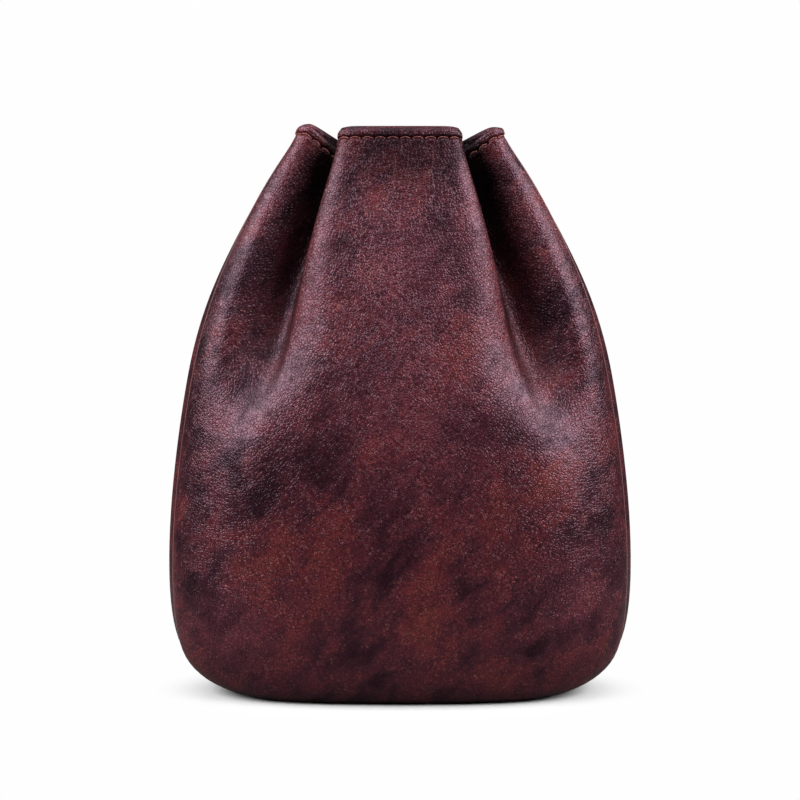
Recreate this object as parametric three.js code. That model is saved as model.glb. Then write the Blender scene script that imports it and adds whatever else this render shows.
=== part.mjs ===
// A small standing leather pouch, sewn from a front and a back panel and turned right side out.
// Two deep pleats in each panel draw the mouth in to a flat tab between two wings.
// Millimetres, +Z up, the front faces -Y and the origin is the middle of the base.
import * as THREE from "three";

// Driving dimensions of the whole pouch.
const HEIGHT = 157;
const WIDTH = 129;
const DEPTH = 66;

// The leather, its turned hem at the mouth and its turned seam at the sides and under the base.
const LEATHER = 1.5;
const HEM_THICKNESS = 2;
const HEM_DEPTH = 10;
const SEAM_GAP = 0.3;
const SEAM_ROLL = 2;
const SEAM_ALLOWANCE = 5;
const RAW_EDGE = 0.6;
const HEM_FADE = 2;
const HEM_CLEAR_COLUMNS = 4;
const RIM_ROUNDING = 0.4;

// How far below the mouth the seam allowance starts and is full, as shares of the height.
const ALLOWANCE_FROM = 0.06;
const ALLOWANCE_FULL = 0.25;

// The side seams sit a little in front of the middle, and the back panel swells out past them.
const SEAM_LEAD = 6;
const SIDE_SWELL = 3.4;

const HALF_WIDTH = WIDTH / 2;
const SEAM_EDGE = SEAM_ROLL + SEAM_GAP / 2;
const HALF_DEPTH = DEPTH / 2 - SEAM_EDGE;

// A panel's sections, one row each, from the mouth down to the seam under the base.
// up, lift and dip are shares of the height: how high the tab is, how far the wing rises above it
// and how far the pleat drops below it.
// seam, tab, valley and wing are shares of half the width: how far out each line of the panel runs,
// and roll is the share that the ridge beside the tab is rounded by.
// front, inset and flank are shares of half the depth: how far the tab, valley and wing stand out.
// crown is the share of the tab's depth that it loses from its middle to its ridges.
// lead is the share of the seam lead and of the side swell.
const COLUMNS = [
  "up", "seam", "lead", "lift", "tab", "front", "crown", "roll", "valley", "inset", "dip", "wing", "flank",
];
const SECTIONS = [
  [1.000, 0.440, 0.10, 0.008, 0.284, 0.42, 0.04, 0.090, 0.225, 0.07, 0.048, 0.390, 0.14],
  [0.980, 0.455, 0.10, 0.008, 0.290, 0.44, 0.04, 0.090, 0.230, 0.08, 0.048, 0.405, 0.16],
  [0.925, 0.551, 0.25, 0.006, 0.332, 0.52, 0.05, 0.100, 0.265, 0.10, 0.043, 0.473, 0.22],
  [0.850, 0.653, 0.50, 0.003, 0.390, 0.63, 0.05, 0.115, 0.320, 0.14, 0.032, 0.568, 0.31],
  [0.770, 0.747, 0.75, 0.001, 0.425, 0.74, 0.06, 0.140, 0.395, 0.19, 0.020, 0.646, 0.42],
  [0.690, 0.823, 0.90, 0.000, 0.440, 0.83, 0.07, 0.160, 0.450, 0.28, 0.010, 0.722, 0.47],
  [0.610, 0.874, 1.00, 0.000, 0.455, 0.90, 0.08, 0.170, 0.500, 0.38, 0.004, 0.780, 0.50],
  [0.540, 0.906, 1.00, 0.000, 0.500, 0.95, 0.08, 0.170, 0.610, 0.68, 0.000, 0.822, 0.52],
  [0.450, 0.941, 1.00, 0.000, 0.540, 0.98, 0.08, 0.170, 0.710, 0.77, 0.000, 0.856, 0.53],
  [0.325, 0.976, 1.00, 0.000, 0.540, 1.00, 0.08, 0.170, 0.730, 0.78, 0.000, 0.885, 0.53],
  [0.210, 0.986, 1.00, 0.000, 0.530, 1.00, 0.08, 0.170, 0.730, 0.78, 0.000, 0.890, 0.53],
  [0.125, 0.973, 1.00, 0.000, 0.510, 0.97, 0.08, 0.160, 0.720, 0.75, 0.000, 0.880, 0.51],
  [0.060, 0.938, 0.80, 0.000, 0.480, 0.91, 0.08, 0.150, 0.690, 0.69, 0.000, 0.850, 0.47],
  [0.018, 0.838, 0.35, 0.000, 0.440, 0.82, 0.07, 0.140, 0.640, 0.61, 0.000, 0.768, 0.41],
  [0.000, 0.715, 0.00, 0.000, 0.400, 0.70, 0.06, 0.130, 0.570, 0.53, 0.000, 0.660, 0.36],
  [0.000, 0.620, 0.00, 0.000, 0.350, 0.55, 0.06, 0.110, 0.480, 0.42, 0.000, 0.550, 0.26],
  [0.000, 0.560, 0.00, 0.000, 0.280, 0.00, 0.00, 0.080, 0.380, 0.00, 0.000, 0.470, 0.00],
].map((row) => Object.fromEntries(COLUMNS.map((name, column) => [name, row[column]])));

// How many sections lower than the table each pleat runs out, how much of the dip each panel's mouth edge
// takes at its pleats, how much of the lift each wing takes, and how many sections a pleat runs through.
const PLEAT_REACH = {
  front: { left: 0, right: 0.5 },
  back: { left: 0.2, right: 0 },
};
const PLEAT_DIP = { front: 1, back: 0.75 };
const WING_RISE = { left: 1, right: 0 };
const PLEAT_SECTIONS = 10;

// How far from the ridge's corner its rounding's control lines lie, as shares of the roll.
const ROLL_NEAR = 0.6;
const ROLL_FAR = 1.45;

// The most of the way that the rounding takes to the middle and to the valley, where the line between
// the valley and the wing lies, how far out it comes to a wing that stands out past the valley, how far
// up it climbs to the wing, and how far the edge beside the seam follows the wing out and in.
const MOST_TO_MIDDLE = 0.7;
const MOST_NEAR_VALLEY = 0.4;
const MOST_FAR_VALLEY = 0.75;
const SLOPE_PLACE = 0.45;
const SLOPE_OUT = 0.15;
const SLOPE_UP = { front: 0.3, back: 0.45 };
const EDGE_OUT = 0.4;
const EDGE_IN = { front: 0.2, back: 0.35 };

// Where the sections and the lines across them are sampled, in steps of the tables.
const ROW_STEPS = [
  0, 0.5, 1, 1.5, 2, 2.5, 3, 3.5, 4, 4.5, 5, 5.5, 6, 6.5, 7, 8, 9, 10, 11, 12, 12.5, 13, 13.5, 14, 15, 16,
];
const SIDE_STEPS = [1, 2, 2.5, 3, 3.5, 4, 4.5, 5, 5.5, 6, 6.5, 7, 7.5, 8, 8.5, 9];
const LINES_A_SIDE = 9;
const SEAM_ROLL_DEGREES = [30, 60, 90];

// A smooth value between the steps of a list, by a cubic B-spline that starts and ends on the list's ends.
function spline(values, place) {
  const last = values.length - 1;
  const span = Math.min(Math.floor(place), last - 1);
  const f = place - span;
  const before = span > 0 ? values[span - 1] : 2 * values[0] - values[1];
  const after = span + 2 <= last ? values[span + 2] : 2 * values[last] - values[last - 1];
  const first = (1 - f) ** 3 * before + (3 * f ** 3 - 6 * f ** 2 + 4) * values[span];
  const second = (-3 * f ** 3 + 3 * f ** 2 + 3 * f + 1) * values[span + 1] + f ** 3 * after;
  return (first + second) / 6;
}

function sectionAt(place) {
  const within = Math.max(0, place);
  return Object.fromEntries(COLUMNS.map((name) => [name, spline(SECTIONS.map((row) => row[name]), within)]));
}

function depthOf(share) {
  return SEAM_EDGE + share * HALF_DEPTH;
}

// The point a given reach from one point to another, and at most a given share of the way.
function stepTowards(start, end, reach, most) {
  return start.clone().lerp(end, Math.min(reach / start.distanceTo(end), most));
}

// The same into a pleat, where the mouth's edge stays level near the ridge and then drops.
function stepDown(ridge, valley, reach, most) {
  const share = Math.min(reach / ridge.distanceTo(valley), most);
  const step = ridge.clone().lerp(valley, share);
  return step.setZ(THREE.MathUtils.lerp(ridge.z, valley.z, share ** 2));
}

// One side of a section from the middle out to the seam: how far across, out and up each line is.
function sideLines(place, panel, side) {
  const row = sectionAt(place);
  const reach = PLEAT_REACH[panel][side] * Math.sin(Math.PI * Math.min(1, place / PLEAT_SECTIONS));
  const pleat = sectionAt(place - reach);
  const height = row.up * HEIGHT;
  const lift = row.lift * HEIGHT * WING_RISE[side];
  const lead = row.lead * SEAM_LEAD;
  const swell = panel === "back" ? row.lead * SIDE_SWELL : 0;
  const roll = row.roll * HALF_WIDTH;
  const centre = new THREE.Vector3(0, depthOf(row.front), height);
  const ridge = new THREE.Vector3(row.tab * HALF_WIDTH, depthOf(row.front * (1 - row.crown)), height);
  const dip = pleat.dip * HEIGHT * PLEAT_DIP[panel];
  const valley = new THREE.Vector3(pleat.valley * HALF_WIDTH, depthOf(pleat.inset), height - dip);
  const wing = new THREE.Vector3(row.wing * HALF_WIDTH, depthOf(row.flank), height + lift);
  const slope = valley.clone().lerp(wing, SLOPE_PLACE);
  if (wing.y > valley.y) slope.setY(THREE.MathUtils.lerp(valley.y, wing.y, SLOPE_OUT));
  slope.setZ(THREE.MathUtils.lerp(valley.z, wing.z, SLOPE_UP[panel]));
  const seamOut = SEAM_EDGE + (panel === "front" ? lead : -lead);
  const seam = new THREE.Vector3(row.seam * HALF_WIDTH, seamOut, height);
  const edgeIn = panel === "back" ? EDGE_IN.back * (1 - row.lead) : EDGE_IN.front;
  const edgeAcross = THREE.MathUtils.lerp(seam.x + swell, wing.x, edgeIn);
  const edgeOut = THREE.MathUtils.lerp(seamOut, wing.y, EDGE_OUT);
  const edge = new THREE.Vector3(edgeAcross, edgeOut, height + lift / 2);
  return [
    centre,
    stepTowards(ridge, centre, ROLL_FAR * roll, MOST_TO_MIDDLE),
    stepTowards(ridge, centre, ROLL_NEAR * roll, MOST_TO_MIDDLE),
    stepDown(ridge, valley, ROLL_NEAR * roll, MOST_NEAR_VALLEY),
    stepDown(ridge, valley, ROLL_FAR * roll, MOST_FAR_VALLEY),
    valley,
    slope,
    wing,
    edge,
    seam,
  ];
}

// The outside of a panel as a grid of points, in rows from the mouth to the base seam.
function outsideGrid(panel) {
  const out = panel === "front" ? -1 : 1;
  const across = [
    ...SIDE_STEPS.map((step) => LINES_A_SIDE - step).reverse(),
    LINES_A_SIDE,
    ...SIDE_STEPS.map((step) => LINES_A_SIDE + step),
  ];
  return ROW_STEPS.map((place) => {
    const left = sideLines(place, panel, "left").slice(1).reverse();
    const right = sideLines(place, panel, "right");
    const lines = [...left.map((line) => line.setX(-line.x)), ...right];
    return across.map((step) => new THREE.Vector3(
      spline(lines.map((line) => line.x), step),
      out * spline(lines.map((line) => line.y), step),
      spline(lines.map((line) => line.z), step),
    ));
  });
}

// The turned seam: from each point of the panel's edge the leather rolls in and runs on as an allowance.
function seamStrip(panel, edge) {
  const out = panel === "front" ? -1 : 1;
  const towards = new THREE.Vector3(0, -out, 0);
  return edge.map((point, index) => {
    const next = edge[Math.min(index + 1, edge.length - 1)];
    const previous = edge[Math.max(index - 1, 0)];
    const along = next.clone().sub(previous).normalize();
    const outward = towards.clone().cross(along).multiplyScalar(-out).normalize();
    const below = 1 - point.z / HEIGHT;
    const allowance = SEAM_ALLOWANCE * THREE.MathUtils.smoothstep(below, ALLOWANCE_FROM, ALLOWANCE_FULL);
    const roll = SEAM_ROLL_DEGREES.map((degrees) => {
      const turn = THREE.MathUtils.degToRad(degrees);
      return point.clone()
        .addScaledVector(towards, SEAM_ROLL * Math.sin(turn))
        .addScaledVector(outward, SEAM_ROLL * (Math.cos(turn) - 1));
    });
    const rawEdge = roll.at(-1).clone().addScaledVector(outward, -RAW_EDGE - allowance);
    return [...roll, rawEdge];
  });
}

// A panel as one closed body: its outside, its inside one leather thickness in, and the edges between them.
function panelGeometry(panel) {
  const grid = outsideGrid(panel);
  const rows = grid.length;
  const columns = grid[0].length;
  const points = grid.flat();
  const faces = [];
  const quad = (a, b, c, d) => {
    const order = panel === "front" ? [a, b, c, a, c, d] : [a, c, b, a, d, c];
    faces.push(...order);
  };
  for (let row = 0; row + 1 < rows; row += 1) {
    for (let column = 0; column + 1 < columns; column += 1) {
      const corner = row * columns + column;
      const ring = [corner, corner + columns, corner + columns + 1, corner + 1];
      if (column < columns / 2 - 1) ring.push(ring.shift());
      quad(...ring);
    }
  }

  const path = [];
  for (let row = 0; row < rows - 1; row += 1) path.push(row * columns);
  for (let column = 0; column < columns; column += 1) path.push((rows - 1) * columns + column);
  for (let row = rows - 2; row >= 0; row -= 1) path.push(row * columns + columns - 1);
  const strip = seamStrip(panel, path.map((index) => points[index]));
  let previous = path;
  for (let turn = 0; turn < strip[0].length; turn += 1) {
    const current = strip.map((run, index) => points.push(run[turn]) - 1);
    for (let index = 0; index + 1 < path.length; index += 1) {
      quad(previous[index], current[index], current[index + 1], previous[index + 1]);
    }
    previous = current;
  }

  const outside = new THREE.BufferGeometry().setFromPoints(points).setIndex(faces);
  outside.computeVertexNormals();
  const normals = outside.getAttribute("normal");
  const thickness = points.map((point, index) => {
    const row = Math.floor(index / columns);
    if (row >= rows) return LEATHER;
    const column = index % columns;
    let below = 0;
    for (let step = 1; step <= row; step += 1) below += grid[step][column].distanceTo(grid[step - 1][column]);
    const hem = 1 - THREE.MathUtils.smoothstep(below, HEM_DEPTH - HEM_FADE, HEM_DEPTH + HEM_FADE);
    const fromSeam = Math.min(column, columns - 1 - column);
    const clear = THREE.MathUtils.smoothstep(fromSeam, 0, HEM_CLEAR_COLUMNS);
    return LEATHER + (HEM_THICKNESS - LEATHER) * hem * clear;
  });
  const count = points.length;
  const inside = points.map((point, index) => {
    const normal = new THREE.Vector3().fromBufferAttribute(normals, index);
    return point.clone().addScaledVector(normal, -thickness[index]);
  });
  const middle = points.map((point, index) => {
    const between = point.clone().lerp(inside[index], 0.5);
    if (index >= columns) return between;
    const rise = point.clone().sub(points[index + columns]).normalize();
    return between.addScaledVector(rise, RIM_ROUNDING * thickness[index]);
  });

  const used = new Map();
  for (let face = 0; face < faces.length; face += 3) {
    for (let corner = 0; corner < 3; corner += 1) {
      const from = faces[face + corner];
      const to = faces[face + (corner + 1) % 3];
      used.set(`${from} ${to}`, [from, to]);
    }
  }
  const body = [...faces];
  for (let face = 0; face < faces.length; face += 3) {
    body.push(faces[face] + count, faces[face + 2] + count, faces[face + 1] + count);
  }
  for (const [from, to] of used.values()) {
    if (used.has(`${to} ${from}`)) continue;
    body.push(to, from, from + 2 * count, to, from + 2 * count, to + 2 * count);
    body.push(to + 2 * count, from + 2 * count, from + count, to + 2 * count, from + count, to + count);
  }
  const geometry = new THREE.BufferGeometry().setFromPoints([...points, ...inside, ...middle]).setIndex(body);
  const clean = geometry.toNonIndexed();
  clean.computeVertexNormals();
  return clean;
}

const leather = new THREE.MeshStandardMaterial({ color: "#4c2428", roughness: 0.5, metalness: 0 });

const group = new THREE.Group();
group.name = "pleated_leather_pouch";
for (const panel of ["front", "back"]) {
  const mesh = new THREE.Mesh(panelGeometry(panel), leather);
  mesh.name = `${panel}_panel`;
  group.add(mesh);
}

export default group;
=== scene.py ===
import math

import bpy
import numpy as np
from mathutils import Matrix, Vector
from mathutils.bvhtree import BVHTree


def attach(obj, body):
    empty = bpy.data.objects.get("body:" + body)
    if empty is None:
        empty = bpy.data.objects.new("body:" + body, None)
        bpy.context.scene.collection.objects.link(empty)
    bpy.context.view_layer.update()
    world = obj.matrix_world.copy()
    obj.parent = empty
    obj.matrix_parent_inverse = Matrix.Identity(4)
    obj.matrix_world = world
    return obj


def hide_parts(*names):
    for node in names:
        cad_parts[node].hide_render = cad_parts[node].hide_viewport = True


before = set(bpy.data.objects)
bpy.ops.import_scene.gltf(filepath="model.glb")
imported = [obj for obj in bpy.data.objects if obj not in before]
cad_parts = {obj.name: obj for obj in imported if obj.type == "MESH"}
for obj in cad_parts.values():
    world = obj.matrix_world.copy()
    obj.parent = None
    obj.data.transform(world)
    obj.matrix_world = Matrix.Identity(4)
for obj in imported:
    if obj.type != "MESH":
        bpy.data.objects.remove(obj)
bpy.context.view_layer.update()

# Camera. The pouch is seen square on from the front, with a long lens held a little above the mouth.
# The picture is square, and its width is given as the real width that it covers at the pouch.
MM = 0.001
VIEW_DISTANCE = 900 * MM
VIEW_ELEVATION = math.radians(6)
VIEW_WIDTH = 223.5 * MM
VIEW_CENTRE = Vector((0.0, 0.0, 81.8 * MM))

front_view = bpy.data.cameras.new("front_view")
front_view.lens = front_view.sensor_width * VIEW_DISTANCE / VIEW_WIDTH
front_camera = bpy.data.objects.new("front_camera", front_view)
away = Vector((0.0, -math.cos(VIEW_ELEVATION), math.sin(VIEW_ELEVATION)))
front_camera.location = VIEW_CENTRE + VIEW_DISTANCE * away
front_camera.rotation_euler = (math.pi / 2 - VIEW_ELEVATION, 0.0, 0.0)
bpy.context.scene.collection.objects.link(front_camera)
bpy.context.scene.camera = front_camera


# Studio. White paper with a bright softbox on each side, a weaker wide one overhead and a faint one over
# the camera, so the flanks of every fold catch light, the folds go dark and the paper washes out to white.
def linear_colour(srgb_hex):
    channels = [int(srgb_hex[place:place + 2], 16) / 255 for place in (1, 3, 5)]
    return [c / 12.92 if c <= 0.04045 else ((c + 0.055) / 1.055) ** 2.4 for c in channels] + [1.0]


def add_node(tree, kind, inputs=None, stops=(), **settings):
    made = tree.nodes.new(kind)
    for name, value in settings.items():
        setattr(made, name, value)
    for socket, value in (inputs or {}).items():
        if isinstance(value, bpy.types.NodeSocket):
            tree.links.new(value, made.inputs[socket])
        else:
            made.inputs[socket].default_value = value
    for number, (position, colour) in enumerate(stops):
        elements = made.color_ramp.elements
        stop = elements[number] if number < len(elements) else elements.new(position)
        stop.position = position
        stop.color = linear_colour(colour)
    return made


PAPER_HALF_WIDTH = 200 * MM
PAPER_FRONT = -170 * MM
PAPER_BACK = 220 * MM
# The paper shows as paper within an oval round the pouch, and fades to the room's white outside it.
FADE_SIZE = (62 * MM, 40 * MM, 1.0)
FADE_FROM = 0.76
FADE_TO = 1.14
ROOM_LIGHT = 0.04
AIM = Vector((0.0, 0.0, 80 * MM))
SOFTBOXES = [
    # name, place, size across, size along, brightness
    ("left_softbox", (-0.90, -0.28, 0.68), 1.2, 0.8, 5.5),
    ("right_softbox", (0.90, -0.28, 0.68), 1.2, 0.8, 5.5),
    ("top_softbox", (0.0, 0.25, 1.3), 1.6, 1.4, 1.0),
    ("front_softbox", (0.0, -0.95, 1.15), 0.9, 0.5, 0.6),
]

paper_mesh = bpy.data.meshes.new("white_paper")
paper_mesh.from_pydata(
    [
        (-PAPER_HALF_WIDTH, PAPER_FRONT, 0),
        (PAPER_HALF_WIDTH, PAPER_FRONT, 0),
        (PAPER_HALF_WIDTH, PAPER_BACK, 0),
        (-PAPER_HALF_WIDTH, PAPER_BACK, 0),
    ],
    [],
    [(0, 1, 2, 3)],
)
paper = bpy.data.objects.new("white_paper", paper_mesh)
bpy.context.scene.collection.objects.link(paper)

# Matt uncoated paper: white without gloss. It throws less light back at the pouch than it shows, so the
# undersides of the folds stay dark.
paper_white = bpy.data.materials.new("matt_white_paper")
paper_white.use_nodes = True
tree = paper_white.node_tree
tree.nodes.clear()
seen = add_node(tree, "ShaderNodeLightPath").outputs["Is Camera Ray"]
bounce = add_node(tree, "ShaderNodeBsdfDiffuse", {"Color": linear_colour("#686868")})
near = add_node(tree, "ShaderNodeBsdfDiffuse", {"Color": linear_colour("#f2f2f2")})
far = add_node(tree, "ShaderNodeEmission", {"Color": linear_colour("#fefefe")})
place = add_node(tree, "ShaderNodeTexCoord").outputs["Object"]
in_oval = add_node(tree, "ShaderNodeVectorMath", {0: place, 1: FADE_SIZE}, operation="DIVIDE")
reach = add_node(tree, "ShaderNodeVectorMath", {0: in_oval.outputs["Vector"]}, operation="LENGTH")
fade = add_node(tree, "ShaderNodeMapRange", {
    "Value": reach.outputs["Value"], "From Min": FADE_FROM, "From Max": FADE_TO,
    "To Min": 0.0, "To Max": 1.0,
}, interpolation_type="SMOOTHSTEP").outputs[0]
shown = add_node(tree, "ShaderNodeMixShader", {0: fade, 1: near.outputs[0], 2: far.outputs[0]})
both = add_node(tree, "ShaderNodeMixShader", {0: seen, 1: bounce.outputs[0], 2: shown.outputs[0]})
add_node(tree, "ShaderNodeOutputMaterial", {"Surface": both.outputs[0]})
paper_mesh.materials.append(paper_white)

for name, place, across, along, brightness in SOFTBOXES:
    lamp = bpy.data.lights.new(name, "AREA")
    lamp.shape = "RECTANGLE"
    lamp.size = across
    lamp.size_y = along
    lamp.energy = brightness * math.pi * across * along
    softbox = bpy.data.objects.new(name, lamp)
    softbox.location = place
    softbox.rotation_euler = (AIM - Vector(place)).to_track_quat("-Z", "Y").to_euler()
    bpy.context.scene.collection.objects.link(softbox)

room = bpy.data.worlds.new("white_room")
room.use_nodes = True
tree = room.node_tree
tree.nodes.clear()
seen = add_node(tree, "ShaderNodeLightPath").outputs["Is Camera Ray"]
shown = add_node(tree, "ShaderNodeBackground", {"Color": linear_colour("#fefefe"), "Strength": 1.0})
lit = add_node(tree, "ShaderNodeBackground", {"Color": linear_colour("#fafcff"), "Strength": ROOM_LIGHT})
both = add_node(tree, "ShaderNodeMixShader", {0: seen, 1: lit.outputs[0], 2: shown.outputs[0]})
add_node(tree, "ShaderNodeOutputWorld", {"Surface": both.outputs[0]})
bpy.context.scene.world = room
bpy.context.scene.view_settings.view_transform = "Standard"


# Leather panels. The pouch is a front and a back panel of firm waxed leather, sewn tight face to face
# round the sides and bottom and turned right side out, so that the seam lies inside. Each panel has a
# turned hem at the mouth and two deep pleats beside a flat tab.
POUCH_HEIGHT = 157 * MM
POUCH_WIDTH = 129 * MM
POUCH_DEPTH = 66 * MM
LEATHER = 1.5 * MM
HEM_THICKNESS = 2.0 * MM
HEM_DEPTH = 10 * MM
HEM_FADE = 1 * MM
SEAM_GAP = 0.02 * MM
SEAM_ROLL = 2.0 * MM
SEAM_ALLOWANCE = 5 * MM
LEAST_ALLOWANCE = 0.6 * MM
LIP_ROLL = 0.8 * MM
SEAM_LEAD = 6 * MM
SIDE_SWELL = 3.4 * MM
HALF_WIDTH = POUCH_WIDTH / 2
SEAM_EDGE = SEAM_ROLL + SEAM_GAP / 2
HALF_DEPTH = POUCH_DEPTH / 2 - SEAM_EDGE

# One row for each section, from the mouth to the seam under the base, as shares of the sizes above. up is
# the height. seam, tab, valley and wing lie across: the side seam, the ridge beside the tab, the bottom
# of the pleat and the crest of the wing. front, inset and flank say how far out the tab, the valley and
# the wing stand, crown how far the ridge lies back from the tab, and roll how round it is. lead moves the
# seam towards the front, lift raises the wing, and dip lowers the mouth edge at the pleat.
SECTION_COLUMNS = (
    "up", "seam", "lead", "lift", "tab", "front", "crown", "roll",
    "valley", "inset", "dip", "wing", "flank",
)
SECTIONS = np.array([
    [1.000, 0.440, 0.10, 0.008, 0.284, 0.42, 0.04, 0.090, 0.225, 0.07, 0.048, 0.390, 0.14],
    [0.980, 0.455, 0.10, 0.008, 0.290, 0.44, 0.04, 0.090, 0.230, 0.08, 0.048, 0.405, 0.16],
    [0.925, 0.551, 0.25, 0.006, 0.332, 0.52, 0.05, 0.100, 0.265, 0.10, 0.043, 0.473, 0.22],
    [0.850, 0.653, 0.50, 0.003, 0.390, 0.63, 0.05, 0.115, 0.320, 0.14, 0.032, 0.568, 0.31],
    [0.770, 0.747, 0.75, 0.001, 0.425, 0.74, 0.06, 0.140, 0.395, 0.19, 0.020, 0.646, 0.42],
    [0.690, 0.823, 0.90, 0.000, 0.440, 0.83, 0.07, 0.160, 0.450, 0.28, 0.010, 0.722, 0.47],
    [0.610, 0.874, 1.00, 0.000, 0.455, 0.90, 0.08, 0.170, 0.500, 0.38, 0.004, 0.780, 0.50],
    [0.540, 0.906, 1.00, 0.000, 0.500, 0.95, 0.08, 0.170, 0.610, 0.68, 0.000, 0.822, 0.52],
    [0.450, 0.941, 1.00, 0.000, 0.540, 0.98, 0.08, 0.170, 0.710, 0.77, 0.000, 0.856, 0.53],
    [0.325, 0.976, 1.00, 0.000, 0.540, 1.00, 0.08, 0.170, 0.730, 0.78, 0.000, 0.885, 0.53],
    [0.210, 0.986, 1.00, 0.000, 0.530, 1.00, 0.08, 0.170, 0.730, 0.78, 0.000, 0.890, 0.53],
    [0.125, 0.973, 1.00, 0.000, 0.510, 0.97, 0.08, 0.160, 0.720, 0.75, 0.000, 0.880, 0.51],
    [0.060, 0.938, 0.80, 0.000, 0.480, 0.91, 0.08, 0.150, 0.690, 0.69, 0.000, 0.850, 0.47],
    [0.018, 0.838, 0.35, 0.000, 0.440, 0.82, 0.07, 0.140, 0.640, 0.61, 0.000, 0.768, 0.41],
    [0.000, 0.715, 0.00, 0.000, 0.400, 0.70, 0.06, 0.130, 0.570, 0.53, 0.000, 0.660, 0.36],
    [0.000, 0.620, 0.00, 0.000, 0.350, 0.55, 0.06, 0.110, 0.480, 0.42, 0.000, 0.550, 0.26],
    [0.000, 0.560, 0.00, 0.000, 0.280, 0.00, 0.00, 0.080, 0.380, 0.00, 0.000, 0.470, 0.00],
])
OUT = {"front": -1.0, "back": 1.0}
# How far each pleat is moved down, in rows, and over how many rows that comes and goes.
PLEAT_REACH = {"front": {"left": 0.0, "right": 0.5}, "back": {"left": 0.2, "right": 0.0}}
PLEAT_ROWS = 10
# How much of the dip each panel's mouth edge has, and of the lift each side's wing.
PLEAT_DIP = {"front": 1.0, "back": 0.75}
WING_RISE = {"left": 1.0, "right": 0.0}
# How far from the ridge's corner its rounding's control lines lie, as shares of the roll, and at most how
# far along the way to the tab's middle or down the pleat.
ROLL_NEAR = 0.6
ROLL_FAR = 1.45
MOST_TO_TAB = 0.7
MOST_NEAR_DOWN = 0.4
MOST_FAR_DOWN = 0.6
# Where the line between the valley and the wing lies, and how far out and up it comes to the wing.
SLOPE_PLACE = 0.45
SLOPE_OUT = 0.15
SLOPE_UP = {"front": 0.3, "back": 0.45}
# How far in and out from the seam the edge beside it lies, as shares of the way to the wing.
EDGE_IN = {"front": 0.2, "back": 0.35}
EDGE_OUT = 0.4
NEVER_ZERO = 1e-18


def spline_weights(count, places):
    weights = np.zeros((len(places), count + 2))
    for row, place in enumerate(places):
        span = min(int(place), count - 2)
        part = place - span
        weights[row, span:span + 4] = (
            (1 - part) ** 3,
            3 * part ** 3 - 6 * part ** 2 + 4,
            -3 * part ** 3 + 3 * part ** 2 + 3 * part + 1,
            part ** 3,
        )
    kept = weights[:, 1:-1]
    kept[:, 0] += 2 * weights[:, 0]
    kept[:, 1] -= weights[:, 0]
    kept[:, -1] += 2 * weights[:, -1]
    kept[:, -2] -= weights[:, -1]
    return kept / 6


def sections_at(places):
    values = spline_weights(len(SECTIONS), np.maximum(places, 0)) @ SECTIONS
    return dict(zip(SECTION_COLUMNS, values.T))


def between(first, second, share):
    return first + (second - first) * share


def step_towards(start, end, reach, most):
    span = np.linalg.norm(end - start, axis=1)
    return between(start, end, np.minimum(reach / span, most)[:, None])


def step_down(ridge, valley, reach, most):
    share = np.minimum(reach / np.linalg.norm(valley - ridge, axis=1), most)
    step = between(ridge, valley, share[:, None])
    step[:, 2] = between(ridge[:, 2], valley[:, 2], share ** 2)
    return step


def side_lines(places, panel, side):
    row = sections_at(places)
    reach = PLEAT_REACH[panel][side] * np.sin(np.pi * np.minimum(1, places / PLEAT_ROWS))
    pleat = sections_at(places - reach)
    height = row["up"] * POUCH_HEIGHT
    lift = row["lift"] * POUCH_HEIGHT * WING_RISE[side]
    tab_out = SEAM_EDGE + row["front"] * HALF_DEPTH
    centre = np.stack([0 * height, tab_out, height], axis=1)
    ridge_out = SEAM_EDGE + row["front"] * (1 - row["crown"]) * HALF_DEPTH
    ridge = np.stack([row["tab"] * HALF_WIDTH, ridge_out, height], axis=1)
    valley_out = SEAM_EDGE + pleat["inset"] * HALF_DEPTH
    valley_up = height - pleat["dip"] * POUCH_HEIGHT * PLEAT_DIP[panel]
    valley = np.stack([row["valley"] * HALF_WIDTH, valley_out, valley_up], axis=1)
    wing_out = SEAM_EDGE + row["flank"] * HALF_DEPTH
    wing = np.stack([row["wing"] * HALF_WIDTH, wing_out, height + lift], axis=1)
    slope = between(valley, wing, SLOPE_PLACE)
    risen = between(valley_out, wing_out, SLOPE_OUT)
    slope[:, 1] = np.where(wing_out > valley_out, risen, slope[:, 1])
    slope[:, 2] = between(valley[:, 2], wing[:, 2], SLOPE_UP[panel])
    seam_out = SEAM_EDGE - OUT[panel] * row["lead"] * SEAM_LEAD
    seam = np.stack([row["seam"] * HALF_WIDTH, seam_out, height], axis=1)
    swell = row["lead"] * SIDE_SWELL if panel == "back" else 0.0
    edge_in = EDGE_IN[panel] * (1 - row["lead"]) if panel == "back" else EDGE_IN[panel]
    edge_across = between(seam[:, 0] + swell, wing[:, 0], edge_in)
    edge_out = between(seam_out, wing_out, EDGE_OUT)
    edge = np.stack([edge_across, edge_out, height + lift / 2], axis=1)
    roll = row["roll"] * HALF_WIDTH
    lines = [
        centre,
        step_towards(ridge, centre, ROLL_FAR * roll, MOST_TO_TAB),
        step_towards(ridge, centre, ROLL_NEAR * roll, MOST_TO_TAB),
        step_down(ridge, valley, ROLL_NEAR * roll, MOST_NEAR_DOWN),
        step_down(ridge, valley, ROLL_FAR * roll, MOST_FAR_DOWN),
        valley,
        slope,
        wing,
        edge,
        seam,
    ]
    return np.stack(lines, axis=1)


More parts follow.
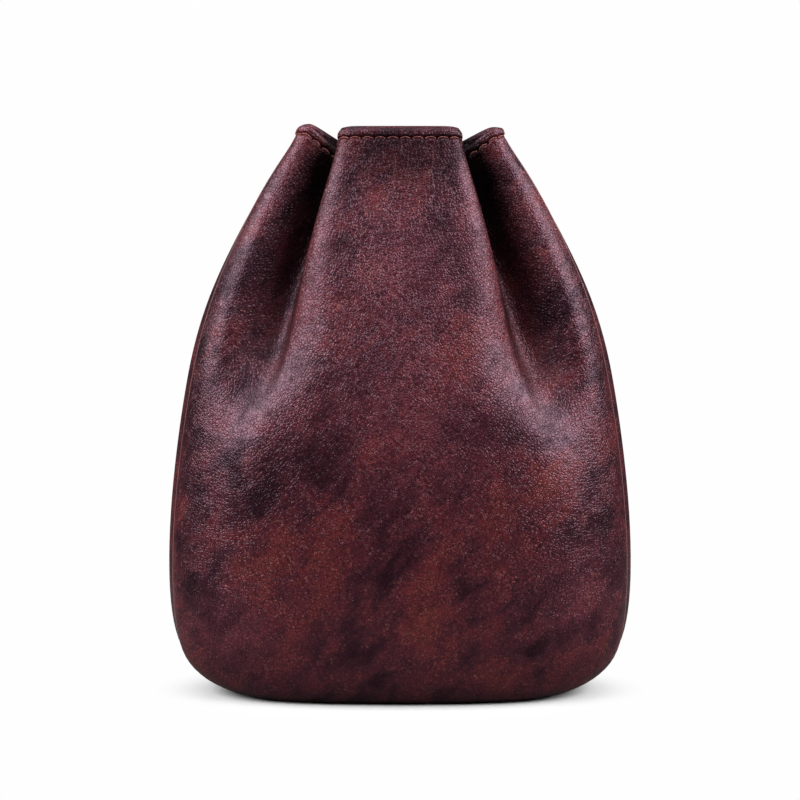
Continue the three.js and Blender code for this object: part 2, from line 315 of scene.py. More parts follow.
# The mesh is finest along the hem, where the stitches are.
LINES_A_SIDE = 9
HEM_ROWS = 1.25
POINTS_ACROSS = 397
POINTS_DOWN_HEM = 37
POINTS_DOWN_BODY = 67
ACROSS_STEPS = np.linspace(0, 2 * LINES_A_SIDE, POINTS_ACROSS)
HEM_STEPS = np.linspace(0, HEM_ROWS, POINTS_DOWN_HEM)
BODY_STEPS = np.linspace(HEM_ROWS, len(SECTIONS) - 1, POINTS_DOWN_BODY)
DOWN_STEPS = np.concatenate([HEM_STEPS, BODY_STEPS[1:]])


def panel_surface(panel):
    left = side_lines(DOWN_STEPS, panel, "left")[:, :0:-1] * np.array([-1, 1, 1])
    right = side_lines(DOWN_STEPS, panel, "right")
    lines = np.concatenate([left, right], axis=1)
    surface = np.einsum("cl,rlk->rck", spline_weights(lines.shape[1], ACROSS_STEPS), lines)
    surface[:, :, 1] *= OUT[panel]
    return surface


def surface_normals(surface, panel):
    down = np.gradient(surface, axis=0)
    across = np.gradient(surface, axis=1)
    normals = np.cross(down, across) * -OUT[panel]
    return normals / np.maximum(np.linalg.norm(normals, axis=2, keepdims=True), NEVER_ZERO)


def lengths_along(surface, axis):
    steps = np.linalg.norm(np.diff(surface, axis=axis), axis=2)
    start = np.zeros_like(np.take(steps, [0], axis=axis))
    return np.concatenate([start, np.cumsum(steps, axis=axis)], axis=axis)


def smooth_step(values, low, high):
    share = np.clip((values - low) / (high - low), 0, 1)
    return share * share * (3 - 2 * share)


# The hem is a flat band that stands a little proud. Its thread pulls a groove of short arches with a hole
# at each end into the leather along the band's lower edge, and puckers the leather below them.
STITCH_BELOW_EDGE = 1.9 * MM
STITCH_PITCH = 3.4 * MM
STITCH_ARCH = 0.4 * MM
BAND_RISE = 0.32 * MM
BAND_SLOPE = (-0.75 * MM, -0.1 * MM)
STITCH_SINK = 0.34 * MM
STITCH_GROOVE = 0.4 * MM
HOLE_SINK = 0.45 * MM
HOLE_SIZE = 0.45 * MM
PUCKER_RISE = 0.16 * MM
PUCKER_BELOW = 1.1 * MM
PUCKER_SIZE = 0.7 * MM


def stitch_phase(surface, below):
    stitch_row = np.argmin(np.abs(below[:, below.shape[1] // 2] - STITCH_BELOW_EDGE))
    along_hem = lengths_along(surface, 1)[stitch_row]
    return along_hem / along_hem[-1] * round(along_hem[-1] / STITCH_PITCH)


def hem_relief(below, phase):
    arch = np.abs(np.sin(np.pi * phase))[None, :]
    from_line = below - STITCH_BELOW_EDGE + STITCH_ARCH * arch
    band = BAND_RISE * (1 - smooth_step(from_line, *BAND_SLOPE))
    groove = STITCH_SINK * np.exp(-(from_line / STITCH_GROOVE) ** 2)
    hole = HOLE_SINK * np.exp(-(from_line / HOLE_SIZE) ** 2) * (1 - arch) ** 3
    pucker = PUCKER_RISE * np.exp(-((from_line - PUCKER_BELOW) / PUCKER_SIZE) ** 2) * arch
    return band - groove - hole + pucker


def hemmed_panel(panel):
    bare = panel_surface(panel)
    normals = surface_normals(bare, panel)
    below = lengths_along(bare, 0)
    phase = stitch_phase(bare, below)
    surface = bare + normals * hem_relief(below, phase)[:, :, None]
    return surface, normals, below, phase


# Where the dye lies thin, as rust, or thick, as plum, where the wax is worn and a painted sheen lightens
# the ridges and the tab, and where a painted shade darkens
# the top of the tab: centre across and up, half length and half width in mm, and the long way's slant from
# upright in degrees.
MARKS = [
    # kind, across, up, long, wide, slant
    ("rust", 1, 149, 9, 6, 0),
    ("rust", 14, 95, 8, 6, 30),
    ("rust", 4, 139, 6, 5, 20),
    ("rust", -19, 107, 12, 6, -15),
    ("rust", 11, 44, 14, 7, 60),
    ("rust", 28, 55, 14, 6, 65),
    ("rust", -14, 43, 9, 6, 50),
    ("rust", -38, 40, 12, 8, 60),
    ("rust", 9, 22, 10, 6, 10),
    ("rust", 45, 65, 10, 8, 40),
    ("rust", 34, 96, 9, 4, -35),
    ("rust", -27, 154, 6, 6, 0),
    ("rust", 27, 153, 6, 5, 0),
    ("plum", -12, 143, 9, 6, 10),
    ("plum", 12, 147, 8, 6, 0),
    ("plum", 6, 125, 14, 12, 10),
    ("plum", 25, 85, 9, 6, -20),
    ("plum", -38, 66, 13, 12, 20),
    ("plum", -28, 71, 9, 6, 40),
    ("plum", 36, 32, 12, 11, 30),
    ("plum", -2, 34, 8, 5, 50),
    ("plum", -53, 29, 10, 8, 30),
    ("plum", 55, 67, 9, 7, 20),
    ("plum", -47, 113, 12, 6, 20),
    ("plum", 41, 79, 7, 5, -30),
    ("plum", -40, 84, 7, 6, 30),
    ("plum", -30, 122, 16, 6, -22),
    # The worn marks lighten the dye as worn wax, and those on the ridges, on the tab and in the middle of
    # the belly also stand in for painted sheen.
    ("wear_and_sheen", 4, 82, 24, 26, 30),
    ("wear_and_sheen", 2, 121, 12, 12, 0),
    ("wear_and_sheen", -23, 118, 20, 4, 12),
    ("wear_and_sheen", 23, 118, 20, 4, -12),
    ("wear_and_sheen", 48, 30, 10, 9, 30),
    ("wear_and_sheen", -45, 20, 12, 10, 60),
    # A painted shade on the top of the tab.
    ("painted_tab_shade", 0, 150, 11, 22, 0),
]
TAB_SHADE_DEPTH = 0.4
LIP_HIGHLIGHT_WIDTH = 0.9 * MM
GROOVE_WIDTH = 1.3 * MM
# How the paint runs over the lines of the seam strip, from the panel's edge inwards: the front's lip gets
# a painted highlight, the back's edge lies in the groove beside it, and both get painted shade inside the
# seam.
SEAM_PAINTED_SHADE = (0.0, 0.1, 0.25, 0.5, 1.0, 1.0, 1.0)
STRIP_PAINT = {
    "front": {"lip_highlight": (0.1, 0, 0, 0, 0, 0, 0), "painted_fold_shade": SEAM_PAINTED_SHADE},
    "back": {"groove": (0.1, 0, 0, 0, 0, 0, 0), "painted_fold_shade": SEAM_PAINTED_SHADE},
}
# Inside the mouth a painted shade darkens the leather below the rim, where the front and the back lie
# close together.
SLIT_BELOW = (0.3 * MM, 2 * MM)
SLIT_NARROW = (6 * MM, 11 * MM)
# How much of the sky each point can't see is counted with rays spread over it, on a coarser mesh, and
# drawn as painted shade in the folds.
SKY_RAYS = 40
SKY_TURN = math.pi * (3 - math.sqrt(5))
SKY_REACH = 40 * MM
SKY_START = 0.2 * MM
SKY_ROWS = 2
SKY_COLUMNS = 6
NEARLY_UPRIGHT = 0.9


def grid_quads(rows, columns):
    index = np.arange(rows * columns).reshape(rows, columns)
    corners = [index[:-1, :-1], index[1:, :-1], index[1:, 1:], index[:-1, 1:]]
    return np.stack(corners, axis=2).reshape(-1, 4)


def hidden_sky(surface, normals):
    rows, columns = surface.shape[:2]
    coarse = surface[::SKY_ROWS, ::SKY_COLUMNS]
    points = coarse.reshape(-1, 3)
    facing = normals[::SKY_ROWS, ::SKY_COLUMNS].reshape(-1, 3)
    skin = BVHTree.FromPolygons(points.tolist(), grid_quads(*coarse.shape[:2]).tolist())
    turns = np.arange(SKY_RAYS) * SKY_TURN
    heights = np.sqrt((np.arange(SKY_RAYS) + 0.5) / SKY_RAYS)
    sides = np.sqrt(1 - heights ** 2)
    rays = np.stack([sides * np.cos(turns), sides * np.sin(turns), heights], axis=1)
    hidden = np.zeros(len(points))
    for number, (point, normal) in enumerate(zip(points, facing)):
        helper = (0.0, 0.0, 1.0) if abs(normal[2]) < NEARLY_UPRIGHT else (1.0, 0.0, 0.0)
        aside = np.cross(normal, helper)
        aside /= max(np.linalg.norm(aside), NEVER_ZERO)
        over = rays @ np.stack([aside, np.cross(normal, aside), normal])
        start = Vector(point + normal * SKY_START)
        hits = [skin.ray_cast(start, Vector(ray), SKY_REACH)[0] is not None for ray in over]
        hidden[number] = np.mean(hits)
    hidden = hidden.reshape(coarse.shape[:2])
    down_places = np.arange(0, rows, SKY_ROWS)
    across_places = np.arange(0, columns, SKY_COLUMNS)
    finer = np.stack([np.interp(np.arange(columns), across_places, row) for row in hidden])
    return np.stack([np.interp(np.arange(rows), down_places, column) for column in finer.T], axis=1)


def panel_paint(panel, surface, normals):
    across, up = surface[:, :, 0], surface[:, :, 2]
    paint = {kind: np.zeros_like(across) for kind in ("rust", "plum", "wear_and_sheen", "painted_tab_shade")}
    for kind, mark_across, mark_up, long, wide, slant in MARKS:
        side = across * -OUT[panel] - mark_across * MM
        rise = up - mark_up * MM
        lean = math.radians(slant)
        along = (rise * math.cos(lean) + side * math.sin(lean)) / (long * MM)
        beside = (side * math.cos(lean) - rise * math.sin(lean)) / (wide * MM)
        paint[kind] += np.exp(-along ** 2 - beside ** 2)
    # Painted shade: the folds darken by how much sky they can't see, and the tab's top by its painted
    # shade marks.
    paint["painted_fold_shade"] = hidden_sky(surface, normals) + TAB_SHADE_DEPTH * paint.pop("painted_tab_shade")
    from_left = lengths_along(surface, 1)
    from_seam = np.minimum(from_left, from_left[:, -1:] - from_left)
    # A painted highlight along the front's seam lip, and the back's groove beside the seam.
    lip_highlight = 1 - smooth_step(from_seam, LIP_HIGHLIGHT_WIDTH / 2, LIP_HIGHLIGHT_WIDTH)
    groove = 1 - smooth_step(from_seam, GROOVE_WIDTH / 2, GROOVE_WIDTH)
    paint["lip_highlight"] = lip_highlight if panel == "front" else 0 * lip_highlight
    paint["groove"] = groove if panel == "back" else 0 * groove
    return paint


# The seam strip goes on from the panel's edge: straight in, round the lip, and into the seam allowance,
# which narrows towards the mouth. The allowance's share of the height is counted from the mouth down.
LIP_TURNS = (22.5, 45, 67.5, 90)
ALLOWANCE_FADE = (0.06, 0.25)
# The mouth's edge is rounded over half a turn, and the hem thins out towards the side seams.
RIM_TURNS = (45, 90, 135)
HEM_CLEAR = 1.2


def sewn_edge(grid):
    return np.concatenate([grid[:-1, 0], grid[-1], grid[-2::-1, -1]])


def seam_strip(edge, panel):
    towards = np.array([0.0, -OUT[panel], 0.0])
    outward = np.cross(towards, np.gradient(edge, axis=0)) * -OUT[panel]
    outward /= np.linalg.norm(outward, axis=1, keepdims=True)
    allowance = SEAM_ALLOWANCE * smooth_step(1 - edge[:, 2] / POUCH_HEIGHT, *ALLOWANCE_FADE)
    straight = edge + towards * (SEAM_ROLL - LIP_ROLL)
    strip = [straight]
    for turn in np.radians(LIP_TURNS):
        strip.append(straight + LIP_ROLL * (towards * np.sin(turn) + outward * (np.cos(turn) - 1)))
    strip.append(strip[-1] - outward * (SEAM_ROLL - LIP_ROLL))
    strip.append(strip[-1] - outward * (LEAST_ALLOWANCE + allowance)[:, None])
    return strip


def point_normals(points, quads):
    corners = points[quads]
    face_normals = np.cross(corners[:, 2] - corners[:, 0], corners[:, 3] - corners[:, 1])
    normals = np.zeros_like(points)
    for corner in range(4):
        np.add.at(normals, quads[:, corner], face_normals)
    return normals / np.linalg.norm(normals, axis=1, keepdims=True)


def open_edges(quads):
    edges = np.concatenate([quads[:, [a, b]] for a, b in ((0, 1), (1, 2), (2, 3), (3, 0))])
    count = edges.max() + 1
    one_way = edges[:, 0] * count + edges[:, 1]
    other_way = edges[:, 1] * count + edges[:, 0]
    return edges[~np.isin(one_way, other_way)]


def panel_mesh(panel):
    surface, normals, below, _ = hemmed_panel(panel)
    rows, columns = below.shape
    skin_count = rows * columns
    strip = seam_strip(sewn_edge(surface), panel)
    points = np.concatenate([surface.reshape(-1, 3), *strip])
    count = len(points)

    line = sewn_edge(np.arange(skin_count).reshape(rows, columns))
    line_length = len(line)
    quads = [grid_quads(rows, columns)]
    for first in range(skin_count, count, line_length):
        following = np.arange(first, first + line_length)
        quads.append(np.stack([line[:-1], following[:-1], following[1:], line[1:]], axis=1))
        line = following
    quads = np.concatenate(quads)
    if panel == "back":
        quads = quads[:, ::-1]

    hem = 1 - smooth_step(below, HEM_DEPTH - HEM_FADE, HEM_DEPTH + HEM_FADE)
    clear = smooth_step(np.minimum(ACROSS_STEPS, ACROSS_STEPS[::-1]), 0.0, HEM_CLEAR)
    thickness = np.full(count, LEATHER)
    thickness[:skin_count] += ((HEM_THICKNESS - LEATHER) * hem * clear[None, :]).ravel()
    inside = points - point_normals(points, quads) * thickness[:, None]
    rise = np.zeros_like(points)
    rise[:columns] = surface[0] - surface[1]
    rise[:columns] /= np.linalg.norm(rise[:columns], axis=1, keepdims=True)
    layers = [points]
    for turn in np.radians(RIM_TURNS):
        level = between(inside, points, (1 + np.cos(turn)) / 2)
        layers.append(level + rise * (thickness / 2 * np.sin(turn))[:, None])
    layers.append(inside)

    inner_start = count * (len(layers) - 1)
    faces = [quads, quads[:, ::-1] + inner_start]
    start, end = open_edges(quads).T
    for low in range(0, inner_start, count):
        high = low + count
        faces.append(np.stack([end + low, start + low, start + high, end + high], axis=1))
    faces = np.concatenate(faces)
    used = np.unique(faces)
    renumber = np.zeros(count * len(layers), dtype=np.int64)
    renumber[used] = np.arange(len(used))
    mesh = bpy.data.meshes.new(f"{panel}_leather")
    mesh.from_pydata(np.concatenate(layers)[used].tolist(), [], renumber[faces].tolist())
    mesh.polygons.foreach_set("use_smooth", [True] * len(mesh.polygons))

    flesh_side = np.zeros(len(faces), dtype=np.int32)
    flesh_side[len(quads):2 * len(quads)] = 1
    flesh_side[len(quads):][:(rows - 1) * (columns - 1)] = below[:-1, :-1].ravel() > HEM_DEPTH
    mesh.polygons.foreach_set("material_index", flesh_side)
    narrow = 1 - smooth_step(np.abs(surface[:, :, 1]), *SLIT_NARROW)
    slit_shade = smooth_step(below, *SLIT_BELOW) * narrow
    for name, values in panel_paint(panel, surface, normals).items():
        strip_values = STRIP_PAINT[panel].get(name, np.zeros(len(strip)))
        outer = np.concatenate([values.ravel(), np.repeat(strip_values, line_length)])
        full = np.tile(outer, len(layers))
        # The inner faces below the mouth's rim get the painted shade of the narrow slit.
        if name == "painted_fold_shade":
            full[inner_start:inner_start + skin_count] = np.maximum(values, slit_shade).ravel()
        painted = mesh.attributes.new(name, "FLOAT", "POINT")
        painted.data.foreach_set("value", full[used].astype(np.float32))
    mesh.update()
    return mesh


# Pull-up leather, drum dyed oxblood and waxed: a dark red-brown with rust and plum clouds, a fine pebbled
# grain with pale worn flecks, and a soft waxy sheen. The grain lies smoother where the belly stretches it
# and deeper where the mouth gathers it.
CLOUD_SIZE = 20 * MM
MARBLE_SIZE = (5 * MM, 9 * MM, 10 * MM)
MARBLE_SLANT = math.radians(42)
MARK_SHARE = 0.21
WEAR_AND_SHEEN_SHARE = 0.35
PEBBLE_SIZE = 0.85 * MM
WARP_SIZE = 1.5 * MM
WARP_REACH = 0.8 * MM
PATCH_SIZE = 2.6 * MM
WISP_SIZE = 0.72 * MM
BREAK_SIZE = 0.95 * MM
PIT_SHARE = 0.72
LIP_HIGHLIGHT_SHARE = 0.55
BEAD_PITCH = 1.15 * MM
WAVE_SIZE = 6 * MM
WAVE_DEPTH = 0.45 * MM
CREASE_DEPTH = 0.088 * MM
BELLY_TOP = 45 * MM
GATHERS_FROM = 100 * MM
LEAST_ROUGHNESS = 0.26
RUST_ROUGHNESS = 0.1
OPEN_SHINE = 0.83
SHINE_LOST_IN_FOLDS = 0.74

leather = bpy.data.materials.new("oxblood_pull_up_leather")
leather.use_nodes = True
tree = leather.node_tree
tree.nodes.clear()
place = add_node(tree, "ShaderNodeTexCoord").outputs["Object"]
height = add_node(tree, "ShaderNodeSeparateXYZ", {0: place}).outputs["Z"]
rust, plum, wear_and_sheen, painted_fold_shade, lip_highlight, groove = [
    add_node(tree, "ShaderNodeAttribute", attribute_name=name).outputs["Fac"]
    for name in ("rust", "plum", "wear_and_sheen", "painted_fold_shade", "lip_highlight", "groove")
]

# The dye's tone, from plum to rust.
clouds = add_node(tree, "ShaderNodeTexNoise", {
    "Vector": place, "Scale": 1 / CLOUD_SIZE, "Detail": 2.0, "Roughness": 0.5, "Distortion": 0.6,
}).outputs["Fac"]
slanted = add_node(tree, "ShaderNodeMapping", {
    "Vector": place, "Rotation": (0, MARBLE_SLANT, 0), "Scale": MARBLE_SIZE,
}, vector_type="TEXTURE").outputs[0]
marble = add_node(tree, "ShaderNodeTexNoise", {
    "Vector": slanted, "Scale": 1.0, "Detail": 2.0, "Roughness": 0.45, "Distortion": 0.6,
}).outputs["Fac"]
mottled = add_node(tree, "ShaderNodeMath", {0: clouds, 1: marble}, operation="ADD").outputs[0]
marks = add_node(tree, "ShaderNodeMath", {0: rust, 1: plum}, operation="SUBTRACT").outputs[0]
marked = add_node(tree, "ShaderNodeMath", {
    0: marks, 1: MARK_SHARE, 2: mottled,
}, operation="MULTIPLY_ADD").outputs[0]
tone = add_node(tree, "ShaderNodeMath", {0: marked, 1: 0.5}, operation="MULTIPLY").outputs[0]
dye = add_node(tree, "ShaderNodeValToRGB", {0: tone}, stops=[
    (0.32, "#2b121c"), (0.43, "#421924"), (0.53, "#5d212a"), (0.62, "#70292b"), (0.75, "#82372e"),
]).outputs["Color"]
# Worn wax and a painted sheen lighten the dye towards a pale rose.
wear_and_sheen_share = add_node(tree, "ShaderNodeMath", {0: wear_and_sheen, 1: WEAR_AND_SHEEN_SHARE}, operation="MULTIPLY").outputs[0]
rubbed_and_sheened = add_node(tree, "ShaderNodeMix", {
    0: wear_and_sheen_share, 6: dye, 7: linear_colour("#8e4450"),
}, data_type="RGBA").outputs[2]

# The grain's creases, and the flecks where the tops of its pebbles are worn.
wander = add_node(tree, "ShaderNodeTexNoise", {
    "Vector": place, "Scale": 1 / WARP_SIZE, "Detail": 1.0, "Roughness": 0.5,
}).outputs["Color"]
warped = add_node(tree, "ShaderNodeVectorMath", {
    0: wander, 1: [WARP_REACH] * 3, 2: place,
}, operation="MULTIPLY_ADD").outputs[0]
from_crease = add_node(tree, "ShaderNodeTexVoronoi", {
    "Vector": warped, "Scale": 1 / PEBBLE_SIZE,
}, feature="DISTANCE_TO_EDGE").outputs["Distance"]
crease = add_node(tree, "ShaderNodeMapRange", {
    "Value": from_crease, "From Min": 0.0, "From Max": 0.26,
    "To Min": 1.0, "To Max": 0.0,
}, interpolation_type="SMOOTHSTEP").outputs[0]
patchy = add_node(tree, "ShaderNodeTexNoise", {
    "Vector": place, "Scale": 1 / PATCH_SIZE, "Detail": 2.0, "Roughness": 0.6,
}).outputs["Fac"]
crease_share = add_node(tree, "ShaderNodeMapRange", {
    "Value": patchy, "From Min": 0.35, "From Max": 0.6,
    "To Min": 0.65, "To Max": 1.0,
}).outputs[0]
creases = add_node(tree, "ShaderNodeMath", {0: crease, 1: crease_share}, operation="MULTIPLY").outputs[0]
wisp = add_node(tree, "ShaderNodeTexNoise", {
    "Vector": place, "Scale": 1 / WISP_SIZE, "Detail": 1.0, "Roughness": 0.5, "Distortion": 0.8,
}).outputs["Fac"]
off_wisp = add_node(tree, "ShaderNodeMath", {0: wisp, 1: 0.5}, operation="SUBTRACT").outputs[0]
from_wisp = add_node(tree, "ShaderNodeMath", {0: off_wisp}, operation="ABSOLUTE").outputs[0]
wisps = add_node(tree, "ShaderNodeMapRange", {
    "Value": from_wisp, "From Min": 0.0, "From Max": 0.065,
    "To Min": 1.0, "To Max": 0.0,
}).outputs[0]
broken = add_node(tree, "ShaderNodeTexNoise", {
    "Vector": place, "Scale": 1 / BREAK_SIZE, "Detail": 0.0,
}).outputs["Fac"]
breaks = add_node(tree, "ShaderNodeMapRange", {
    "Value": broken, "From Min": 0.46, "From Max": 0.62,
    "To Min": 0.0, "To Max": 1.0,
}).outputs[0]
wisp_share = add_node(tree, "ShaderNodeMapRange", {
    "Value": patchy, "From Min": 0.35, "From Max": 0.65,
    "To Min": 0.3, "To Max": 0.85,
}).outputs[0]
fleck_tone = add_node(tree, "ShaderNodeMapRange", {
    "Value": tone, "From Min": 0.38, "From Max": 0.54,
    "To Min": 0.2, "To Max": 1.0,
}).outputs[0]
flecks = wisps
for share in (breaks, wisp_share, fleck_tone):
    flecks = add_node(tree, "ShaderNodeMath", {0: flecks, 1: share}, operation="MULTIPLY").outputs[0]
flecked = add_node(tree, "ShaderNodeMix", {
    0: flecks, 6: rubbed_and_sheened, 7: linear_colour("#b3695f"),
}, data_type="RGBA").outputs[2]
pits = add_node(tree, "ShaderNodeMath", {0: creases, 1: PIT_SHARE}, operation="MULTIPLY").outputs[0]
pitted = add_node(tree, "ShaderNodeMix", {
    0: pits, 6: flecked, 7: linear_colour("#10060a"),
}, data_type="RGBA").outputs[2]

# Painted shade in the folds, a painted highlight on the lip of the side seam, and the beads of stitching
# in its groove with painted shade of the groove between them.
painted_shade_share = add_node(tree, "ShaderNodeMapRange", {
    "Value": painted_fold_shade, "From Min": 0.13, "From Max": 0.5,
    "To Min": 0.0, "To Max": 0.97,
}).outputs[0]
shaded = add_node(tree, "ShaderNodeMix", {
    0: painted_shade_share, 6: pitted, 7: linear_colour("#080304"),
}, data_type="RGBA").outputs[2]
lip_highlight_share = add_node(tree, "ShaderNodeMath", {0: lip_highlight, 1: LIP_HIGHLIGHT_SHARE}, operation="MULTIPLY").outputs[0]
lip_highlighted = add_node(tree, "ShaderNodeMix", {
    0: lip_highlight_share, 6: shaded, 7: linear_colour("#ad7d7b"),
}, data_type="RGBA").outputs[2]
# The stitch beads in the seam groove, with painted shade of the groove between them.
bead_turn = add_node(tree, "ShaderNodeMath", {
    0: height, 1: math.tau / BEAD_PITCH,
}, operation="MULTIPLY").outputs[0]
bead = add_node(tree, "ShaderNodeMath", {0: bead_turn}, operation="SINE").outputs[0]
bead_colour = add_node(tree, "ShaderNodeValToRGB", {0: bead}, stops=[
    (0.2, "#220e13"), (0.9, "#5e3335"),
]).outputs["Color"]
seamed = add_node(tree, "ShaderNodeMix", {
    0: groove, 6: lip_highlighted, 7: bead_colour,
}, data_type="RGBA").outputs[2]

# The relief and the sheen, which is weaker in the folds and where the dye is thick.
waves = add_node(tree, "ShaderNodeTexNoise", {
    "Vector": place, "Scale": 1 / WAVE_SIZE, "Detail": 2.0, "Roughness": 0.5,
}).outputs["Fac"]
wavy = add_node(tree, "ShaderNodeBump", {
    "Height": waves, "Distance": WAVE_DEPTH, "Strength": 1.0,
}).outputs["Normal"]
gathered = add_node(tree, "ShaderNodeMapRange", {
    "Value": height, "From Min": BELLY_TOP, "From Max": GATHERS_FROM,
    "To Min": 0.72, "To Max": 1.1,
}).outputs[0]
grain = add_node(tree, "ShaderNodeMath", {0: creases, 1: gathered}, operation="MULTIPLY").outputs[0]
pebbled = add_node(tree, "ShaderNodeBump", {
    "Height": grain, "Distance": CREASE_DEPTH, "Strength": 1.0, "Normal": wavy,
}, invert=True).outputs["Normal"]
gloss = add_node(tree, "ShaderNodeMath", {
    0: tone, 1: RUST_ROUGHNESS, 2: LEAST_ROUGHNESS,
}, operation="MULTIPLY_ADD").outputs[0]
open_shine = add_node(tree, "ShaderNodeMath", {
    0: painted_shade_share, 1: -SHINE_LOST_IN_FOLDS, 2: OPEN_SHINE,
}, operation="MULTIPLY_ADD").outputs[0]
waxy = add_node(tree, "ShaderNodeMapRange", {
    "Value": tone, "From Min": 0.35, "From Max": 0.47,
    "To Min": 0.55, "To Max": 1.0,
}).outputs[0]
shine = add_node(tree, "ShaderNodeMath", {0: open_shine, 1: waxy}, operation="MULTIPLY").outputs[0]
shader = add_node(tree, "ShaderNodeBsdfPrincipled", {
    "Base Color": seamed,
    "Roughness": gloss,
    "Specular IOR Level": shine,
    "Specular Tint": linear_colour("#f3c6df"),
    "Normal": pebbled,
})
add_node(tree, "ShaderNodeOutputMaterial", {"Surface": shader.outputs["BSDF"]})

# The flesh side of the leather, inside the pouch below the turned hem: a matt brushed nap in a duller
# red-brown. The nap is finer than this on real leather, and is drawn coarse enough to show.
NAP_SIZE = 0.7 * MM
NAP_DEPTH = 0.2 * MM

flesh = bpy.data.materials.new("flesh_side_of_leather")
flesh.use_nodes = True
tree = flesh.node_tree
tree.nodes.clear()
place = add_node(tree, "ShaderNodeTexCoord").outputs["Object"]
nap = add_node(tree, "ShaderNodeTexNoise", {
    "Vector": place, "Scale": 1 / NAP_SIZE, "Detail": 4.0, "Roughness": 0.7,
}).outputs["Fac"]
nap_colour = add_node(tree, "ShaderNodeValToRGB", {0: nap}, stops=[
    (0.3, "#3f2422"), (0.7, "#65403a"),
]).outputs["Color"]
brushed = add_node(tree, "ShaderNodeBump", {
    "Height": nap, "Distance": NAP_DEPTH, "Strength": 0.6,
}).outputs["Normal"]
shader = add_node(tree, "ShaderNodeBsdfPrincipled", {
    "Base Color": nap_colour,
    "Roughness": 0.9,
    "Specular IOR Level": 0.2,
    "Normal": brushed,
})
add_node(tree, "ShaderNodeOutputMaterial", {"Surface": shader.outputs["BSDF"]})

for panel in ("front", "back"):
    mesh = panel_mesh(panel)
    mesh.materials.append(leather)
    mesh.materials.append(flesh)
    piece = bpy.data.objects.new(f"{panel}_leather", mesh)
    bpy.context.scene.collection.objects.link(piece)
    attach(piece, "root")
    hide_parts(f"{panel}_panel")


# Hem thread. Waxed rust thread sews each turned hem: short raised arches along the band's lower edge, and
# the same on the inside of the hem. Each end goes down a hole that the thread has pulled in the leather.
THREAD_RADIUS = 0.16 * MM
ARCH_SPAN = 0.82
ARCH_RISE = 0.75 * MM
ARCH_PROUD = 0.32 * MM
ARCH_END = -0.35 * MM
LEAST_STITCH = 0.9
MOST_STITCH = 1.08
THREAD_SEED = 5
# How far to each side of a stitch its direction is taken, as a share of the pitch.
HALF_STITCH = 0.4
STRAND_SIZE = 0.5 * MM

# Waxed polyester thread, spun from fine strands: a satin rust with a broken tone along it. The strands
# are too fine to show, so the tone is drawn coarser.
thread = bpy.data.materials.new("waxed_rust_thread")
thread.use_nodes = True
tree = thread.node_tree
tree.nodes.clear()
place = add_node(tree, "ShaderNodeTexCoord").outputs["Object"]
strands = add_node(tree, "ShaderNodeTexNoise", {
    "Vector": place, "Scale": 1 / STRAND_SIZE, "Detail": 2.0, "Roughness": 0.6,
}).outputs["Fac"]
thread_colour = add_node(tree, "ShaderNodeValToRGB", {0: strands}, stops=[
    (0.35, "#743834"), (0.65, "#b8736c"),
]).outputs["Color"]
shader = add_node(tree, "ShaderNodeBsdfPrincipled", {
    "Base Color": thread_colour, "Roughness": 0.5, "Specular IOR Level": 0.4,
})
add_node(tree, "ShaderNodeOutputMaterial", {"Surface": shader.outputs["BSDF"]})


def grid_at(grid, row, columns):
    low, share = int(row), row - int(row)
    left = np.clip(np.floor(columns).astype(int), 0, grid.shape[1] - 2)
    part = (columns - left)[:, None]
    upper = between(grid[low][left], grid[low][left + 1], part)
    lower = between(grid[low + 1][left], grid[low + 1][left + 1], part)
    return between(upper, lower, share)


def stitch_points(panel, inside):
    surface, normals, below, phase = hemmed_panel(panel)
    stitches = round(phase[-1])
    middles = np.arange(1, stitches) if inside else np.arange(stitches) + 0.5
    steps = np.arange(len(phase))
    columns = np.interp(middles, phase, steps)
    row = np.interp(STITCH_BELOW_EDGE, below[:, below.shape[1] // 2], np.arange(len(below)))
    reach = np.interp(columns, steps, HALF_STITCH / np.gradient(phase))
    points = grid_at(surface, row, columns)
    along = grid_at(surface, row, columns + reach) - grid_at(surface, row, columns - reach)
    out = grid_at(normals, row, columns)
    out /= np.linalg.norm(out, axis=1, keepdims=True)
    if inside:
        return points - out * HEM_THICKNESS, along, -out
    return points, along, out


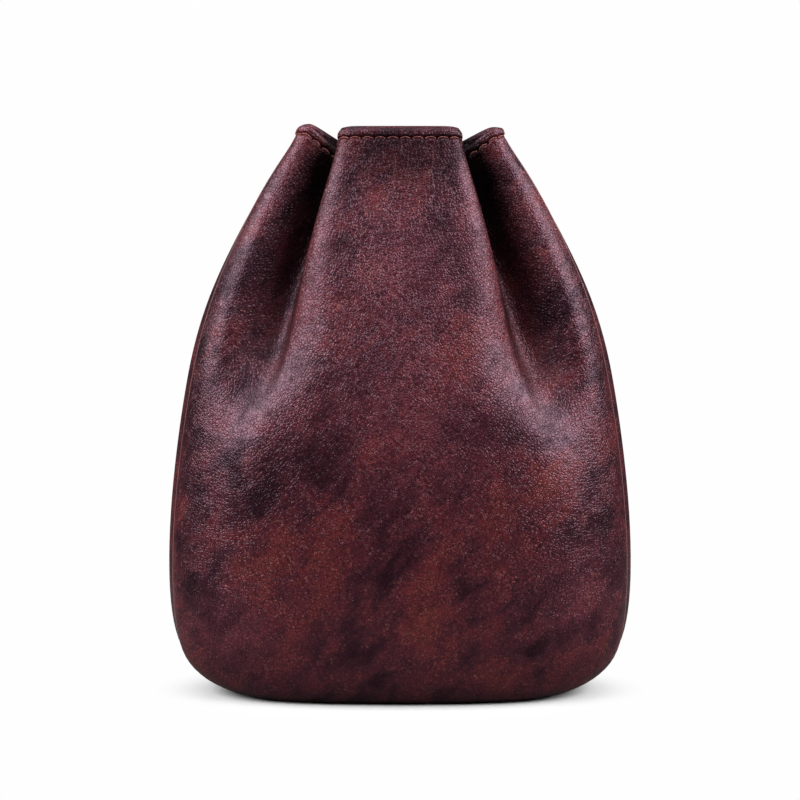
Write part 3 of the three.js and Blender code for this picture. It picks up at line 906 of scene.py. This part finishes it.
def thread_group():
    group = bpy.data.node_groups.new("hem_stitches", "GeometryNodeTree")
    group.interface.new_socket("Geometry", in_out="INPUT", socket_type="NodeSocketGeometry")
    sizes = (
        "Arch half length", "Arch rise", "Arch proud", "Arch end", "Thread radius",
        "Least stitch", "Most stitch",
    )
    for name in sizes:
        group.interface.new_socket(name, in_out="INPUT", socket_type="NodeSocketFloat")
    group.interface.new_socket("Seed", in_out="INPUT", socket_type="NodeSocketInt")
    group.interface.new_socket("Thread", in_out="INPUT", socket_type="NodeSocketMaterial")
    group.interface.new_socket("Geometry", in_out="OUTPUT", socket_type="NodeSocketGeometry")
    given = add_node(group, "NodeGroupInput").outputs
    half = given["Arch half length"]
    back = add_node(group, "ShaderNodeMath", {0: half, 1: -1.0}, operation="MULTIPLY").outputs[0]
    start = add_node(group, "ShaderNodeCombineXYZ", {"X": back, "Z": given["Arch end"]})
    middle = add_node(group, "ShaderNodeCombineXYZ", {"Y": given["Arch rise"], "Z": given["Arch proud"]})
    end = add_node(group, "ShaderNodeCombineXYZ", {"X": half, "Z": given["Arch end"]})
    arch = add_node(group, "GeometryNodeCurveQuadraticBezier", {
        "Resolution": 8, "Start": start.outputs[0], "Middle": middle.outputs[0], "End": end.outputs[0],
    })
    round_section = add_node(group, "GeometryNodeCurvePrimitiveCircle", {
        "Resolution": 8, "Radius": given["Thread radius"],
    })
    stitch = add_node(group, "GeometryNodeCurveToMesh", {
        "Curve": arch.outputs[0], "Profile Curve": round_section.outputs[0], "Fill Caps": True,
    })
    along, out = [
        add_node(group, "GeometryNodeInputNamedAttribute", {"Name": name}, data_type="FLOAT_VECTOR")
        for name in ("along", "out")
    ]
    turn = add_node(group, "FunctionNodeAxesToRotation", {
        "Primary Axis": out.outputs[0], "Secondary Axis": along.outputs[0],
    }, primary_axis="Z", secondary_axis="X")
    size = add_node(group, "FunctionNodeRandomValue", {
        2: given["Least stitch"], 3: given["Most stitch"], "Seed": given["Seed"],
    }, data_type="FLOAT")
    sewn = add_node(group, "GeometryNodeInstanceOnPoints", {
        "Points": given["Geometry"],
        "Instance": stitch.outputs[0],
        "Rotation": turn.outputs[0],
        "Scale": size.outputs[1],
    })
    real = add_node(group, "GeometryNodeRealizeInstances", {"Geometry": sewn.outputs[0]})
    coloured = add_node(group, "GeometryNodeSetMaterial", {
        "Geometry": real.outputs[0], "Material": given["Thread"],
    })
    add_node(group, "NodeGroupOutput", {"Geometry": coloured.outputs[0]})
    return group


stitches = thread_group()
thread_sizes = {
    "Arch half length": ARCH_SPAN * STITCH_PITCH / 2,
    "Arch rise": ARCH_RISE,
    "Arch proud": ARCH_PROUD,
    "Arch end": ARCH_END,
    "Thread radius": THREAD_RADIUS,
    "Least stitch": LEAST_STITCH,
    "Most stitch": MOST_STITCH,
    "Seed": THREAD_SEED,
    "Thread": thread,
}
for panel in ("front", "back"):
    both_sides = zip(stitch_points(panel, False), stitch_points(panel, True))
    points, alongs, outs = [np.concatenate(rows) for rows in both_sides]
    spots = bpy.data.meshes.new(f"{panel}_hem_spots")
    spots.from_pydata(points.tolist(), [], [])
    for name, vectors in (("along", alongs), ("out", outs)):
        pointing = spots.attributes.new(name, "FLOAT_VECTOR", "POINT")
        pointing.data.foreach_set("vector", vectors.astype(np.float32).ravel())
    sewing = bpy.data.objects.new(f"{panel}_hem_spots", spots)
    bpy.context.scene.collection.objects.link(sewing)
    modifier = sewing.modifiers.new("hem_stitches", "NODES")
    modifier.node_group = stitches
    for socket in stitches.interface.items_tree:
        if socket.in_out == "INPUT" and socket.name in thread_sizes:
            modifier[socket.identifier] = thread_sizes[socket.name]
    sewn = sewing.evaluated_get(bpy.context.evaluated_depsgraph_get())
    thread_mesh = bpy.data.meshes.new_from_object(sewn)
    thread_mesh.name = f"{panel}_hem_thread"
    bpy.data.objects.remove(sewing)
    piece = bpy.data.objects.new(f"{panel}_hem_thread", thread_mesh)
    bpy.context.scene.collection.objects.link(piece)
    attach(piece, "root")
